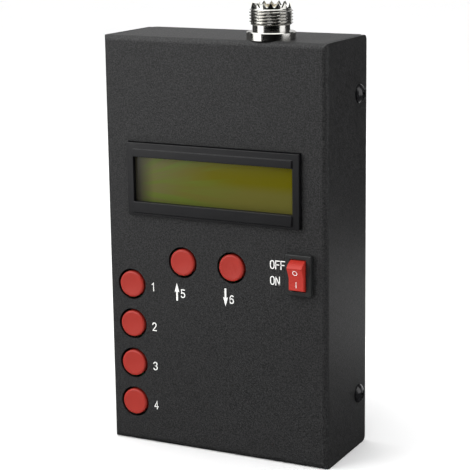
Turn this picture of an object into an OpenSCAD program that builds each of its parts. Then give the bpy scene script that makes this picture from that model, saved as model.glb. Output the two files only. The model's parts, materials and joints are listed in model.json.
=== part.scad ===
// Hand-held antenna analyzer: a folded sheet-metal case that stands on its bottom face, with a
// two-line display, six push buttons, a rocker switch and a threaded antenna socket on top.
// Millimetres. The origin is the middle of the bottom face, +Z is up and the front faces -Y.
// Most parts are drawn in the front frame: X across, Y up and Z out of the front face, so a
// piece inside the case has a negative Z there.

/* [Case] */
// Width of the case, side to side
case_w = 90; // [89:0.5:100]
// Height of the case, bottom face to top face
case_h = 155.5; // [154:0.5:170]
// Depth of the case, front face to back face
case_d = 36; // [35.5:0.5:45]
// Thickness of the case sheet
sheet_t = 1.2; // [1:0.1:1.4]
// Outside radius of the folded front edges
bend_r = 2; // [1.6:0.1:3]
// Radius of the free corners at the back of the folded sides
corner_r = 2; // [0.5:0.1:3]
// Width of the open seam between two folded sides
seam_w = 0.3; // [0.1:0.05:0.6]

/* [Back cover] */
// Gap between the back cover and the case all round
cover_gap = 0.15; // [0.05:0.05:0.4]
// Reach of the cover's side flanges, from the back face forward
cover_flange = 12; // [10:0.5:14]
// Reach of the cover's top and bottom flanges, from the back face forward
cover_lip = 7; // [5:0.5:9]
// Outside radius of the cover's folded edges
cover_bend_r = 1.8; // [1.6:0.1:2.5]

/* [Side screws] */
// Distance of the side screws from the back face
screw_setback = 7; // [5:0.1:8]
// Height of the lower side screws above the bottom face
screw_low = 20.8; // [12:0.1:22]
// Distance of the upper side screws below the top face
screw_drop = 20.8; // [12:0.1:30]
// Diameter of a side screw's head
screw_head_d = 7; // [6:0.1:8]
// Height of a side screw's domed head
screw_head_h = 2.2; // [1.5:0.1:3]
// Height of the straight rim of a side screw's head
screw_rim_h = 0.5; // [0.3:0.1:0.8]
// Diameter of a side screw's shank
screw_d = 3.5; // [3:0.1:4]
// Length of a side screw under its head
screw_len = 6; // [4:0.5:7]

/* [Display] */
// Width of the display's metal frame
frame_w = 70.1; // [70:0.1:74]
// Height of the display's metal frame
frame_h = 27.3; // [26:0.1:29]
// Place of the display's centre, right of the case's middle
display_x = -0.1; // [-1:0.1:1]
// Distance of the display's centre below the top face
display_drop = 52.7; // [50:0.1:56]
// How far the frame stands out of the front face
frame_proud = 1.7; // [1:0.1:2.5]
// Height of the raised bars over and under the window
bar_step = 0.6; // [0.3:0.1:1]
// Width of the frame's border at the left and right of its window
window_side = 2.7; // [2.2:0.05:3]
// Width of the frame's border over and under its window
window_edge = 5.2; // [4.5:0.05:6]
// Height of the raised bar over the window
bar_over = 2.9; // [2:0.1:3.5]
// Height of the raised bar under the window
bar_under = 4.1; // [3:0.1:4.3]
// Sheet thickness of the display's frame
frame_t = 0.8; // [0.5:0.1:1]
// Thickness of the black gasket between frame and glass
gasket_t = 0.8; // [0.4:0.1:1.2]
// Thickness of the display glass
glass_t = 2.2; // [1.8:0.1:2.6]
// Thickness of the backlight block
backlight_t = 3.2; // [2.6:0.1:3.8]
// Gap between the display's own board and the case's left and right faces
lcd_side_gap = 5; // [3.5:0.5:6]
// Height of the display's own board
lcd_board_h = 36; // [35:0.5:38]
// Thickness of the display's own board
lcd_board_t = 1.6; // [1:0.1:2]
// Distance of the display board's holes from its edges
lcd_hole_edge = 2.5; // [2.3:0.1:2.6]
// Diameter of the display's screws
lcd_screw_d = 2.5; // [2:0.1:2.6]
// Length of a display screw under its head
lcd_screw_len = 9; // [8.9:0.1:9.4]
// Diameter of a display screw's head
lcd_head_d = 3.8; // [3.4:0.1:3.9]
// Height of a display screw's head
lcd_head_h = 1.5; // [1:0.1:2]
// Thickness of a display nut
lcd_nut_t = 2; // [1.6:0.1:2]
// Width across the flats of a display nut
lcd_nut_af = 5; // [4.5:0.1:5.5]
// Diameter of a display spacer
spacer_d = 4.6; // [4.2:0.1:5]
// Distance from the upper edge of the display's board to its row of pins
pin_row_edge = 2; // [1.8:0.1:2.2]
// Distance from the left edge of the display's board to its first pin
pin_first = 8; // [7.5:0.1:8.5]
// Number of pins in the display's row
pin_count = 16; // [14:1:18]
// Gap between the display's frame and its cut-out
frame_gap = 0.25; // [0.15:0.05:0.4]

/* [Buttons] */
// Distance of the left column of buttons from the case's left face
column_side = 9.6; // [9.5:0.1:10.5]
// Height of the lowest button above the bottom face
column_low = 15.4; // [15:0.05:18]
// Spacing of the buttons in the left column
column_pitch = 15.5; // [14.5:0.05:15.7]
// Distance of the upper pair of buttons below the display's centre
pair_drop = 30.5; // [29:0.1:32]
// Middle of the upper pair of buttons, left of the case's middle
pair_x = 3.3; // [0:0.05:5]
// Spacing of the upper pair of buttons
pair_pitch = 20.32; // [18:0.01:24]
// Diameter of a button cap
cap_d = 10; // [9.8:0.1:11]
// Gap between a button cap and its hole
cap_gap = 0.9; // [0.4:0.05:1]
// How far a button cap stands out of the front face
cap_proud = 0.5; // [0.4:0.1:2]
// Rounding of a button cap's rim
cap_rim_r = 0.7; // [0.3:0.05:1]
// Depth of the shallow dish in a button cap
cap_dish = 0.25; // [0.1:0.05:0.5]
// Thickness of a button cap's crown
cap_crown = 1.6; // [1.2:0.1:2]
// Wall of a button cap's skirt
cap_wall = 1.1; // [0.8:0.1:1.4]
// How far a cap's socket reaches over the stem
socket_depth = 2.6; // [2:0.1:2.8]
// Side of a push button's square stem
stem_side = 3.8; // [3.4:0.1:4.2]
// Gap round the stem in the cap's socket
stem_gap = 0.04; // [0.02:0.01:0.08]
// Travel of a push button
travel = 0.35; // [0.25:0.05:0.5]
// Side of a push switch's square housing
switch_side = 12; // [11.5:0.1:12.2]
// Height of a push switch's housing
switch_h = 3.5; // [3:0.1:3.6]
// Height of the collar round a push switch's stem
collar_h = 0.4; // [0.2:0.1:0.5]
// Height of a push switch's stem above its board
stem_top = 7.3; // [7:0.1:7.6]
// Diameter of the plunger's foot inside its switch
foot_d = 6; // [5.8:0.1:6.6]
// Height of the plunger's foot
foot_h = 1; // [0.8:0.1:1.2]
// Thickness of the lid over the plunger's foot
lid_t = 0.5; // [0.4:0.1:0.6]
// Room for the snap disc under the plunger's foot
disc_room = 0.25; // [0.2:0.05:0.3]
// Running gap round the plunger
plunger_gap = 0.08; // [0.05:0.01:0.1]

/* [Rocker switch] */
// Width of the rocker switch's bezel
rocker_bezel_w = 10; // [9.6:0.1:11]
// Height of the rocker switch's bezel
rocker_bezel_h = 15; // [14.8:0.1:16]
// How far the rocker switch's bezel stands out
rocker_proud = 2; // [1.7:0.1:2.4]
// Distance of the rocker switch's centre from the case's right face
rocker_side = 10.5; // [9:0.1:11]
// Distance of the rocker switch's centre below the display's centre
rocker_drop = 30.2; // [29:0.1:32]
// Width of the rocker switch's body behind the front
rocker_body_w = 8.4; // [8.2:0.1:8.8]
// Height of the rocker switch's body behind the front
rocker_body_h = 13.4; // [13.2:0.1:13.8]
// Depth of the rocker switch's body behind the front face
rocker_body_d = 11.5; // [10:0.1:12]
// Gap between the rocker switch's body and its cut-out
rocker_body_gap = 0.1; // [0.05:0.01:0.2]
// Width of the rocker
paddle_w = 5.8; // [5.8:0.1:6.4]
// Radius of the rocker's curved ends about its pivot
paddle_r = 5.72; // [5.5:0.01:5.8]
// Gap round the rocker
paddle_gap = 0.15; // [0.1:0.01:0.2]
// Distance of the rocker's pivot in front of the front face
pivot_proud = 0.9; // [0.86:0.02:1]
// Distance from the pivot to the valley between the rocker's two faces
valley_r = 2.82; // [2.6:0.01:3.1]
// Tilt of the rocker from its middle place to either end
rocker_tilt = 12.5; // [10:0.5:13]
// Depth of the rocker's lower part under its pivot
paddle_under = 2.6; // [2:0.1:3]
// Width of the rocker's lower part, top to bottom
paddle_foot = 6; // [5:0.1:7]
// Diameter of the rocker's pivot pins
pivot_d = 1.6; // [1.4:0.1:1.8]
// Length of a pivot pin beyond the rocker's side
pivot_len = 0.9; // [0.6:0.1:0.9]
// Running gap round a pivot pin
pivot_gap = 0.05; // [0.03:0.01:0.08]
// Width of a switch terminal
blade_w = 4.8; // [4:0.1:5]
// Thickness of a switch terminal
blade_t = 0.8; // [0.5:0.1:1]
// Reach of the clips that hold the switch behind the front
clip_reach = 0.7; // [0.4:0.1:0.9]
// Length of a switch terminal
blade_len = 6.5; // [5:0.1:7]
// Spacing of the two switch terminals
blade_pitch = 7; // [6:0.1:8]

/* [Antenna socket] */
// Place of the antenna socket, right of the case's middle
socket_x = 19.5; // [15:0.1:22]
// Distance of the antenna socket's axis behind the front face
socket_setback = 9; // [9:0.05:10]
// Diameter of the socket's outer thread
thread_d = 15.6; // [15.4:0.1:16]
// Length of the socket's outer thread
thread_len = 5.7; // [4.5:0.1:8]
// Diameter of the socket's flange
flange_d = 17.8; // [17.2:0.1:18.2]
// Thickness of the socket's flange
flange_t = 2.8; // [1.5:0.1:3]
// Diameter of the plain neck over the flange
neck_d = 13.4; // [13.2:0.1:14.5]
// Length of the plain neck over the flange
neck_len = 2.4; // [1.5:0.1:3.5]
// Diameter of the toothed rim
rim_d = 14.2; // [13.8:0.1:14.6]
// Inside diameter of the toothed rim
rim_bore = 12.4; // [12:0.1:12.8]
// Length of the plain band under the teeth
band_len = 0.5; // [0.4:0.1:1.5]
// Height of the rim's teeth
tooth_h = 1.6; // [1.4:0.1:2.2]
// Number of teeth round the rim
tooth_count = 16; // [12:1:20]
// Width of the flat at the bottom of each notch
notch_flat = 0.5; // [0.3:0.05:0.8]
// Turn of the ring of teeth, in degrees
tooth_turn = 13; // [0:1:22]
// Diameter of the threaded rear end
rear_d = 12.7; // [12:0.1:13]
// Length of the threaded rear end under the top face
rear_len = 6.6; // [6:0.1:8]
// Gap round the rear end in the case's hole
rear_gap = 0.15; // [0.1:0.05:0.3]
// Width across the flats of the socket's nut
nut_af = 15; // [14.6:0.1:15.6]
// Thickness of the socket's nut
nut_t = 2.6; // [2:0.1:3]
// Thickness of the solder tag under the nut
tag_t = 0.8; // [0.5:0.1:1]
// Diameter of the solder tag's ring
tag_d = 15.2; // [14.4:0.1:15.6]
// Diameter of the insulator's rear end
insulator_rear_d = 9; // [8:0.1:9.5]
// How far the insulator reaches out of the rear end
insulator_tail = 1.5; // [0.5:0.1:3]
// Diameter of the centre contact
contact_d = 5.2; // [5:0.1:5.6]
// Bore of the centre contact
contact_bore = 4; // [3.9:0.05:4.1]
// Depth of the centre contact's bore
contact_depth = 11; // [9:0.5:12]
// How far the centre contact stands over the insulator
contact_proud = 0.7; // [0.3:0.1:1]
// Width of the four slits in the centre contact
slit_w = 0.4; // [0.3:0.05:0.5]
// Diameter of the centre contact's solder cup
cup_d = 2.5; // [2:0.1:3]
// Bore of the solder cup
cup_bore = 1.5; // [1:0.1:1.8]
// How far the solder cup lies over the main board
cup_overlap = 3.5; // [2.5:0.1:5]
// Gap between the solder cup and the main board
solder_gap = 0.02; // [0:0.01:0.05]

/* [Main board] */
// Gap between the main board and the case's sides
board_side_gap = 0.8; // [0.6:0.1:1.2]
// Gap between the main board and the case's bottom
board_low_gap = 1.5; // [1.3:0.1:1.7]
// Distance of the main board's upper edge below the top face
board_drop = 13.5; // [12:0.1:15]
// Thickness of the main board
board_t = 1.6; // [1.2:0.1:2]
// Distance of the main board's holes from its edges
board_hole_edge = 3.2; // [3:0.1:3.4]
// Diameter of a board standoff
standoff_d = 5.5; // [5:0.1:5.8]
// Diameter of a board screw
board_screw_d = 3; // [2.5:0.1:3]
// Diameter of a board screw's head
board_head_d = 5.6; // [5:0.1:5.8]
// Height of a board screw's head
board_head_h = 1.8; // [1.2:0.1:2.2]
// Length of a board screw under its head
board_screw_len = 6; // [5:0.5:7]
// Gap round the notch for the rocker switch
notch_gap = 0.8; // [0.5:0.1:1.2]

/* [Power and data sockets] */
// Place of the power jack, right of the case's middle
jack_x = 20; // [16:0.5:26]
// Width of the power jack
jack_w = 9; // [8.6:0.1:10]
// Height of the power jack over its board
jack_h = 11; // [10.6:0.1:12]
// Length of the power jack
jack_len = 14; // [12:0.5:15]
// Bore of the power jack
jack_bore = 6.3; // [5.6:0.1:6.6]
// Diameter of the power jack's centre pin
jack_pin_d = 2.1; // [2:0.1:2.5]
// Diameter of the power jack's nose
jack_nose_d = 8; // [7.6:0.1:8.4]
// Gap between a bottom socket and the case
outlet_gap = 0.2; // [0.1:0.05:0.4]
// Place of the data socket, left of the case's middle
usb_x = 20; // [16:0.5:26]
// Width of the data socket's metal shell
usb_w = 7.7; // [7.4:0.1:8.2]
// Height of the data socket's metal shell
usb_h = 4; // [3.8:0.1:4.4]
// Length of the data socket's metal shell
usb_len = 9.2; // [8.5:0.1:10]
// Sheet thickness of the data socket's metal shell
usb_t = 0.4; // [0.3:0.05:0.5]

/* [Battery] */
// Diameter of a battery cell
cell_d = 18.3; // [18:0.1:18.5]
// Length of a battery cell
cell_len = 65; // [64:0.1:66]
// Gap between a battery cell and the holder's cradle
cell_gap = 0.1; // [0.05:0.05:0.3]
// Spacing of the battery cells
cell_pitch = 19.6; // [19.2:0.1:20]
// Wall of the battery holder
holder_wall = 1.6; // [1.4:0.1:1.8]
// Depth of the battery holder, floor to rim
holder_depth = 15; // [12:0.5:17]
// Thickness of the battery holder's end walls
holder_end = 2.4; // [2:0.1:3]
// Space at each end of a cell for its contact
contact_room = 3; // [2.5:0.1:3.5]
// Thickness of a battery contact
contact_strip_t = 0.4; // [0.3:0.05:0.5]
// Width of a battery contact
contact_strip_w = 9; // [7:0.5:11]
// Gap between the battery holder and the back cover's left flange
battery_gap = 1.45; // [0.5:0.05:3]
// Height of the battery holder's lower end above the bottom face
battery_low = 25; // [25:0.5:28]
// Thickness of the adhesive pad behind the battery holder
pad_t = 1; // [0.8:0.1:1.2]

/* [Hidden] */
$fn = 64;
// Overlap of a cutting tool past the face that it cuts
over = 0.1;
// Fit of a thread, pin or block in its own hole
snug = 0.02;
// Clearance of a screw in its hole
screw_gap = 0.1;
// Pitch of pin headers
pin_pitch = 2.54;
// Side of a square header pin
pin_side = 0.64;
// How far a pin stands out past its board
pin_out = 1;
// Diameter of a header pin's hole
pin_hole_d = 1;
// Number of buttons in the left column
column_count = 4;
// Spacings of a push switch's legs, across and up
leg_dx = 12.3;
leg_dz = 5;
// Width and thickness of a push switch's leg
leg_w = 0.8;
leg_t = 0.3;
// Diameter of a leg's hole
leg_hole_d = 1.1;
// Wall of the boss round a cap's socket, at the socket's corners
boss_wall = 0.6;
// Seat depth of the insulator on its shoulder in the antenna socket
shoulder_seat = 2;
// How far the insulator stands over the plain band
insulator_proud = 0.1;
// Edge cut of the antenna socket's flange
flange_cut = 0.33;
// Length of the slits in the centre contact
slit_len = 6.6;
// Solid neck between the solder cup's opening and the contact
cup_neck = 1;
// Width and reach of the solder tag's tongue, and its bent-down length
tongue_w = 4;
tongue_reach = 3.2;
tongue_drop = 6.8;
// Depth of the power jack's bore above the bottom face, and of its pin's seat
jack_depth = 10;
pin_seat = 2;
// How far the jack's pin and the data socket's tongue lie behind their mouths
recess = 1;
// Data socket's rear block and tongue
usb_block = 2.3;
usb_tongue_w = 4.8;
usb_tongue_t = 1.05;
// Height and diameter of a cell's positive tip
tip_h = 0.8;
tip_d = 6.1;
// Gap between a bent contact and its cell
touch_gap = 0.1;
// Adhesive pad's margin inside the battery holder's outline
pad_margin = 6.5;
// Reach of a chip's legs beyond its side, and a leg's width as a share of the pitch
leg_reach = 1.2;
leg_share = 0.4;
// Leg pitches of the chips
wide_pitch = 1.27;
fine_pitch = 0.65;

// Pieces on the main board's back: place [right of the middle, below the board's upper edge]
// and size [across, up, height]; a chip's legs are counted on one side
controller_at = [31.5, 90];
controller_size = [7.5, 17.9, 2.4];
controller_leg_count = 14;
synthesizer_at = [4, 14];
synthesizer_size = [5.3, 10.2, 1.9];
synthesizer_leg_count = 14;
amplifier_at = [17, 14];
amplifier_size = [4, 5, 1.6];
amplifier_leg_count = 4;
oscillator_at = [-12, 14];
oscillator_size = [12, 12, 5];
oscillator_rim = [13.2, 13.2, 0.6];
regulator_at = [31.5, 114];
regulator_size = [6.6, 6.1, 2.3];
regulator_tab = [5.2, 2, 0.8];
regulator_leg = [0.8, 2.8, 0.6];
regulator_pitch = 2.28;
trimmer_at = [-30, 12];
trimmer_size = [9.5, 9.5, 4.8];
trimmer_dial_d = 5;
trimmer_dial_depth = 1;
capacitor_drops = [39, 48];
capacitor_x = 30;
capacitor_base = [6.6, 6.6, 1];
capacitor_d = 6.3;
capacitor_h = 7.7;
transformer_at = [31, 12];
// Toroid: bore, outside diameter, height and edge rounding
transformer_size = [4.8, 9.8, 4.8, 0.6];

// The front face's Y
front_y = -case_d / 2;
display_z = case_h - display_drop;

// Display's window and board
window_w = frame_w - 2 * window_side;
window_h = frame_h - 2 * window_edge;
lcd_board_w = case_w - 2 * lcd_side_gap;
lcd_hole_dx = lcd_board_w - 2 * lcd_hole_edge;
lcd_hole_dz = lcd_board_h - 2 * lcd_hole_edge;

// Faces behind the front face, as Z in the front frame
bar_face = frame_proud + bar_step;
gasket_face = frame_proud - frame_t;
glass_face = gasket_face - gasket_t;
backlight_face = glass_face - glass_t;
lcd_board_face = backlight_face - backlight_t;
lcd_board_back = lcd_board_face - lcd_board_t;
board_face = -(socket_setback + cup_d / 2 + solder_gap);
board_back = board_face - board_t;
cover_face = -case_d + sheet_t;
stem_face = board_face + stem_top;
cap_foot = stem_face - socket_depth;

// Main board's outline
board_w = case_w - 2 * (sheet_t + board_side_gap);
board_low = sheet_t + board_low_gap;
board_top = case_h - board_drop;

// Back cover's outside width and height
cover_w = case_w - 2 * (sheet_t + cover_gap);
cover_h = case_h - 2 * (sheet_t + cover_gap);

// Places in the front frame
column_x = case_w / 2 - column_side;
pair_z = display_z - pair_drop;
rocker_x = case_w / 2 - rocker_side;
rocker_z = display_z - rocker_drop;
column_places = [for (i = [column_count - 1 : -1 : 0]) [-column_x, column_low + i * column_pitch]];
pair_places = [for (s = [-1, 1]) [s * pair_pitch / 2 - pair_x, pair_z]];
button_places = concat(column_places, pair_places);
screw_heights = [screw_low, case_h - screw_drop];
lcd_holes = [for (s = [-1, 1], t = [-1, 1])
    [display_x + s * lcd_hole_dx / 2, display_z + t * lcd_hole_dz / 2]];
board_holes = [for (s = [-1, 1], y = [board_low + board_hole_edge, board_top - board_hole_edge])
    [s * (board_w / 2 - board_hole_edge), y]];
pin_x = display_x - lcd_board_w / 2 + pin_first;
pin_y = display_z + lcd_board_h / 2 - pin_row_edge;
pin_places = [for (i = [0 : pin_count - 1]) [pin_x + i * pin_pitch, pin_y]];
leg_places = [for (b = button_places, s = [-1, 1], t = [-1, 1])
    [b[0] + s * leg_dx / 2, b[1] + t * leg_dz / 2]];

// Heights above the top face, in the socket frame
neck_top = flange_t + neck_len;
thread_top = neck_top + thread_len;
band_top = thread_top + band_len;
rim_top = band_top + tooth_h;
insulator_top = band_top + insulator_proud;
shoulder = -rear_len + shoulder_seat;
insulator_low = -rear_len - insulator_tail;
contact_low = insulator_low + shoulder_seat;
contact_top = insulator_top + contact_proud;
cup_end = board_top - cup_overlap - case_h;

// Battery holder
cell_count = 3;
holder_w = cell_count * cell_pitch + 2 * holder_wall;
holder_len = cell_len + 2 * (contact_room + holder_end);
battery_x = case_w / 2 - 2 * sheet_t - cover_gap - battery_gap - holder_w / 2;
pad_face = cover_face + pad_t;
cell_axis = pad_face + holder_wall + cell_gap + cell_d / 2;

// ---------------------------------------------------------------- shared shapes

// The front frame: X across, Y up from the bottom face, Z out of the front face
module front_frame() {
    translate([0, front_y, 0]) rotate([90, 0, 0]) children();
}

// The socket frame: Z up from the top face on the antenna socket's axis
module socket_frame() {
    translate([socket_x, front_y + socket_setback, case_h]) children();
}

// A box drawn from its middle in X and Y and from its lower face in Z
module slab(size_x, size_y, z0, z1) {
    translate([-size_x / 2, -size_y / 2, z0]) cube([size_x, size_y, z1 - z0]);
}

// A cylinder between two heights
module rod(d, z0, z1) {
    translate([0, 0, z0]) cylinder(h = z1 - z0, d = d);
}

// A hexagon prism between two heights, its flats facing Y
module hex_rod(across_flats, z0, z1) {
    translate([0, 0, z0]) cylinder(h = z1 - z0, d = across_flats / cos(30), $fn = 6);
}

// Children at each [x, y] of a list
module at(places) {
    for (p = places) translate([p[0], p[1], 0]) children();
}

// Outline of a sheet folded round its two front edges
module fold_outline(width, depth, r) {
    translate([-width / 2, -depth]) square([width, depth - r]);
    translate([-width / 2 + r, -r - over]) square([width - 2 * r, r + over]);
    for (s = [-1, 1]) translate([s * (width / 2 - r), -r]) circle(r);
}

// Block with all four front edges rounded, from the bottom face up, back face square
module folded_block(width, height, depth, r) {
    intersection() {
        translate([0, height, 0]) rotate([90, 0, 0])
            linear_extrude(height) fold_outline(width, depth, r);
        translate([-width / 2, height / 2, 0]) rotate([90, 0, 90])
            linear_extrude(width) fold_outline(height, depth, r);
    }
}

// Square corner less its quarter circle, to round a free corner
module corner_chip(r) {
    difference() {
        translate([0, 0]) square([r + over, r + over]);
        circle(r);
    }
}

// ---------------------------------------------------------------- case

module corner_seams() {
    // Open seams between the side flanges and the top and bottom flanges
    seam_len = case_d - bend_r;
    for (s = [-1, 1], y = [-over, case_h - sheet_t - over])
        translate([s * (case_w / 2 - sheet_t - seam_w / 2) - seam_w / 2, y, -case_d - over])
            cube([seam_w, sheet_t + 2 * over, seam_len + over]);
}

module free_corners() {
    // Side flanges, seen from the side
    for (s = [-1, 1], t = [0, 1])
        translate([s * (case_w / 2 - sheet_t / 2), t * case_h, -case_d])
            mirror([0, t, 0]) translate([-sheet_t / 2 - over, corner_r, corner_r])
                rotate([90, 0, 90]) linear_extrude(sheet_t + 2 * over)
                    rotate(180) corner_chip(corner_r);
    // Top and bottom flanges, seen from above
    for (s = [0, 1], t = [0, 1])
        mirror([s, 0, 0]) translate([-case_w / 2, t * (case_h - sheet_t), -case_d])
            translate([sheet_t + seam_w + corner_r, sheet_t + over, corner_r])
                rotate([90, 0, 0]) linear_extrude(sheet_t + 2 * over)
                    rotate(180) corner_chip(corner_r);
}

module side_screw_frames() {
    for (s = [-1, 1], y = screw_heights)
        translate([s * case_w / 2, y, -case_d + screw_setback]) rotate([0, s * 90, 0]) children();
}

module front_cutouts() {
    translate([display_x, display_z, 0])
        slab(frame_w + 2 * frame_gap, frame_h + 2 * frame_gap, -sheet_t - over, over);
    at(button_places) rod(cap_d + 2 * cap_gap, -sheet_t - over, over);
    translate([rocker_x, rocker_z, 0])
        slab(rocker_body_w + 2 * rocker_body_gap, rocker_body_h + 2 * rocker_body_gap,
            -sheet_t - over, over);
}

module bottom_cutouts() {
    jack_frame() rod(jack_nose_d + 2 * outlet_gap, -over, sheet_t + over);
    usb_frame() slab(usb_w + 2 * outlet_gap, usb_h + 2 * outlet_gap, -over, sheet_t + over);
}

module front_shell() {
    color([0.16, 0.16, 0.17]) {
        difference() {
            front_frame() difference() {
                folded_block(case_w, case_h, case_d, bend_r);
                translate([0, sheet_t, -sheet_t])
                    folded_block(case_w - 2 * sheet_t, case_h - 2 * sheet_t, case_d,
                        bend_r - sheet_t);
                front_cutouts();
                corner_seams();
                free_corners();
                side_screw_frames() rod(screw_d + 2 * screw_gap, -sheet_t - over, over);
            }
            bottom_cutouts();
            socket_frame() rod(rear_d + 2 * rear_gap, -sheet_t - over, over);
        }
    }
}

module cover_block(inset, reach) {
    translate([0, sheet_t + cover_gap + inset, -case_d + inset]) mirror([0, 0, 1])
        folded_block(cover_w - 2 * inset, cover_h - 2 * inset, reach, cover_bend_r - inset);
}

module back_cover() {
    color([0.14, 0.14, 0.15]) front_frame() difference() {
        cover_block(0, cover_flange);
        cover_block(sheet_t, cover_flange);
        // The top and bottom flanges reach less far than the side flanges
        translate([0, case_h / 2, 0])
            slab(cover_w - 2 * cover_bend_r, case_h, -case_d + cover_lip, 0);
        side_screw_frames()
            rod(screw_d + 2 * snug, -3 * sheet_t - cover_gap, -sheet_t);
    }
}

// Domed head of a screw: straight rim and a cap of a sphere, sitting on Z = 0
module domed_head(d, h, rim) {
    dome = h - rim;
    ball_r = (d * d / 4 + dome * dome) / (2 * dome);
    rotate_extrude() intersection() {
        translate([0, h - ball_r]) circle(ball_r, $fn = 128);
        square([d / 2, h]);
    }
}

module cover_screws() {
    color([0.07, 0.07, 0.08]) front_frame() side_screw_frames() {
        domed_head(screw_head_d, screw_head_h, screw_rim_h);
        rod(screw_d, -screw_len, over);
    }
}

// ---------------------------------------------------------------- display

module display_frame() {
    front_frame() translate([display_x, display_z, 0]) children();
}

module window_bars(face) {
    // Raised bars over and under the window, from the frame's inside to a face
    for (bar = [[window_h / 2, bar_over], [-window_h / 2 - bar_under, bar_under]])
        translate([-window_w / 2, bar[0], gasket_face])
            cube([window_w, bar[1], face - gasket_face]);
}

module lcd_bezel() {
    color([0.09, 0.09, 0.1]) display_frame() difference() {
        union() {
            slab(frame_w, frame_h, lcd_board_face, frame_proud);
            window_bars(bar_face);
        }
        slab(frame_w - 2 * frame_t, frame_h - 2 * frame_t, lcd_board_face - over, gasket_face);
        slab(window_w, window_h, gasket_face - over, bar_face + over);
    }
}

module lcd_gasket() {
    color([0.05, 0.05, 0.05]) display_frame() difference() {
        slab(frame_w - 2 * frame_t - 2 * snug, frame_h - 2 * frame_t - 2 * snug,
            glass_face, gasket_face);
        slab(window_w, window_h, glass_face - over, gasket_face + over);
    }
}

module lcd_glass() {
    color([0.42, 0.4, 0.12]) display_frame()
        slab(frame_w - 2 * frame_t - 2 * snug, frame_h - 2 * frame_t - 2 * snug,
            backlight_face, glass_face);
}

module lcd_backlight() {
    color([0.75, 0.8, 0.3]) display_frame()
        slab(frame_w - 2 * frame_t - 2 * snug, frame_h - 2 * frame_t - 2 * snug,
            lcd_board_face, backlight_face);
}

module lcd_board() {
    color([0.05, 0.3, 0.15]) front_frame() difference() {
        translate([display_x, display_z, 0])
            slab(lcd_board_w, lcd_board_h, lcd_board_back, lcd_board_face);
        at(lcd_holes) rod(lcd_screw_d + 2 * screw_gap, lcd_board_back - over, lcd_board_face + over);
        at(pin_places) rod(pin_hole_d, lcd_board_back - over, lcd_board_face + over);
    }
}

module lcd_header() {
    color([0.12, 0.12, 0.12]) front_frame() union() {
        translate([pin_x + (pin_count - 1) * pin_pitch / 2, pin_y, 0])
            slab(pin_count * pin_pitch, pin_pitch, board_face, lcd_board_back);
        at(pin_places) slab(pin_side, pin_side, board_back - pin_out, lcd_board_face + pin_out);
    }
}

module lcd_spacers() {
    color([0.85, 0.82, 0.72]) front_frame() at(lcd_holes) difference() {
        rod(spacer_d, board_face, lcd_board_back);
        rod(lcd_screw_d + 2 * screw_gap, board_face - over, lcd_board_back + over);
    }
}

module lcd_screws() {
    color([0.75, 0.75, 0.77]) front_frame() at(lcd_holes) {
        rod(lcd_head_d, lcd_board_face, lcd_board_face + lcd_head_h);
        rod(lcd_screw_d, lcd_board_face - lcd_screw_len, lcd_board_face + over);
    }
}

module lcd_nuts() {
    color([0.75, 0.75, 0.77]) front_frame() at(lcd_holes) difference() {
        hex_rod(lcd_nut_af, board_back - lcd_nut_t, board_back);
        rod(lcd_screw_d + 2 * snug, board_back - lcd_nut_t - over, board_back + over);
    }
}

// ---------------------------------------------------------------- main board

module main_board() {
    notch_w = rocker_body_w + 2 * notch_gap;
    notch_h = rocker_body_h + 2 * (clip_reach + notch_gap);
    color([0.06, 0.32, 0.16]) front_frame() difference() {
        translate([0, (board_low + board_top) / 2, 0])
            slab(board_w, board_top - board_low, board_back, board_face);
        // Notch for the rocker switch, open to the board's side
        translate([rocker_x - notch_w / 2, rocker_z - notch_h / 2, board_back - over])
            cube([case_w, notch_h, board_t + 2 * over]);
        at(board_holes) rod(board_screw_d + 2 * screw_gap, board_back - over, board_face + over);
        at(lcd_holes) rod(lcd_screw_d + 2 * screw_gap, board_back - over, board_face + over);
        at(pin_places) rod(pin_hole_d, board_back - over, board_face + over);
        at(leg_places) rod(leg_hole_d, board_back - over, board_face + over);
    }
}

module board_standoffs() {
    color([0.7, 0.7, 0.72]) front_frame() at(board_holes) difference() {
        rod(standoff_d, board_face, -sheet_t);
        rod(board_screw_d + 2 * snug, board_face - over,
            board_back + board_screw_len + screw_gap);
    }
}

module board_screws() {
    color([0.75, 0.75, 0.77]) front_frame() at(board_holes) {
        rod(board_head_d, board_back - board_head_h, board_back);
        rod(board_screw_d, board_back - over, board_back + board_screw_len);
    }
}

// ---------------------------------------------------------------- push buttons

module button_frame(i) {
    front_frame() translate([button_places[i][0], button_places[i][1], 0]) children();
}

// Outline of half a cap: a disc with a rounded rim, turned about its axis
module cap_outline() {
    half = cap_d / 2;
    translate([0, cap_foot]) square([half, cap_proud - cap_rim_r - cap_foot]);
    translate([0, cap_proud - cap_rim_r - over]) square([half - cap_rim_r, cap_rim_r + over]);
    translate([half - cap_rim_r, cap_proud - cap_rim_r]) intersection() {
        circle(cap_rim_r);
        square(cap_rim_r + over);
    }
}

module cap(i) {
    half = cap_d / 2;
    boss = stem_side * sqrt(2) + 2 * boss_wall;
    dish_half = half - cap_rim_r;
    dish_r = (dish_half * dish_half + cap_dish * cap_dish) / (2 * cap_dish);
    hollow_top = cap_proud - cap_crown;
    color([0.78, 0.16, 0.14]) button_frame(i) difference() {
        rotate_extrude() cap_outline();
        translate([0, 0, cap_proud + dish_r - cap_dish]) sphere(dish_r, $fn = 128);
        // Hollow between the skirt and the middle boss, with four ribs left across it
        difference() {
            rod(cap_d - 2 * cap_wall, cap_foot - over, hollow_top);
            rod(boss, cap_foot - 2 * over, hollow_top + over);
            for (a = [0, 90]) rotate(a) slab(cap_d, cap_wall, cap_foot - 2 * over, hollow_top + over);
        }
        slab(stem_side + 2 * stem_gap, stem_side + 2 * stem_gap, cap_foot - over, stem_face);
    }
}

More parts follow.
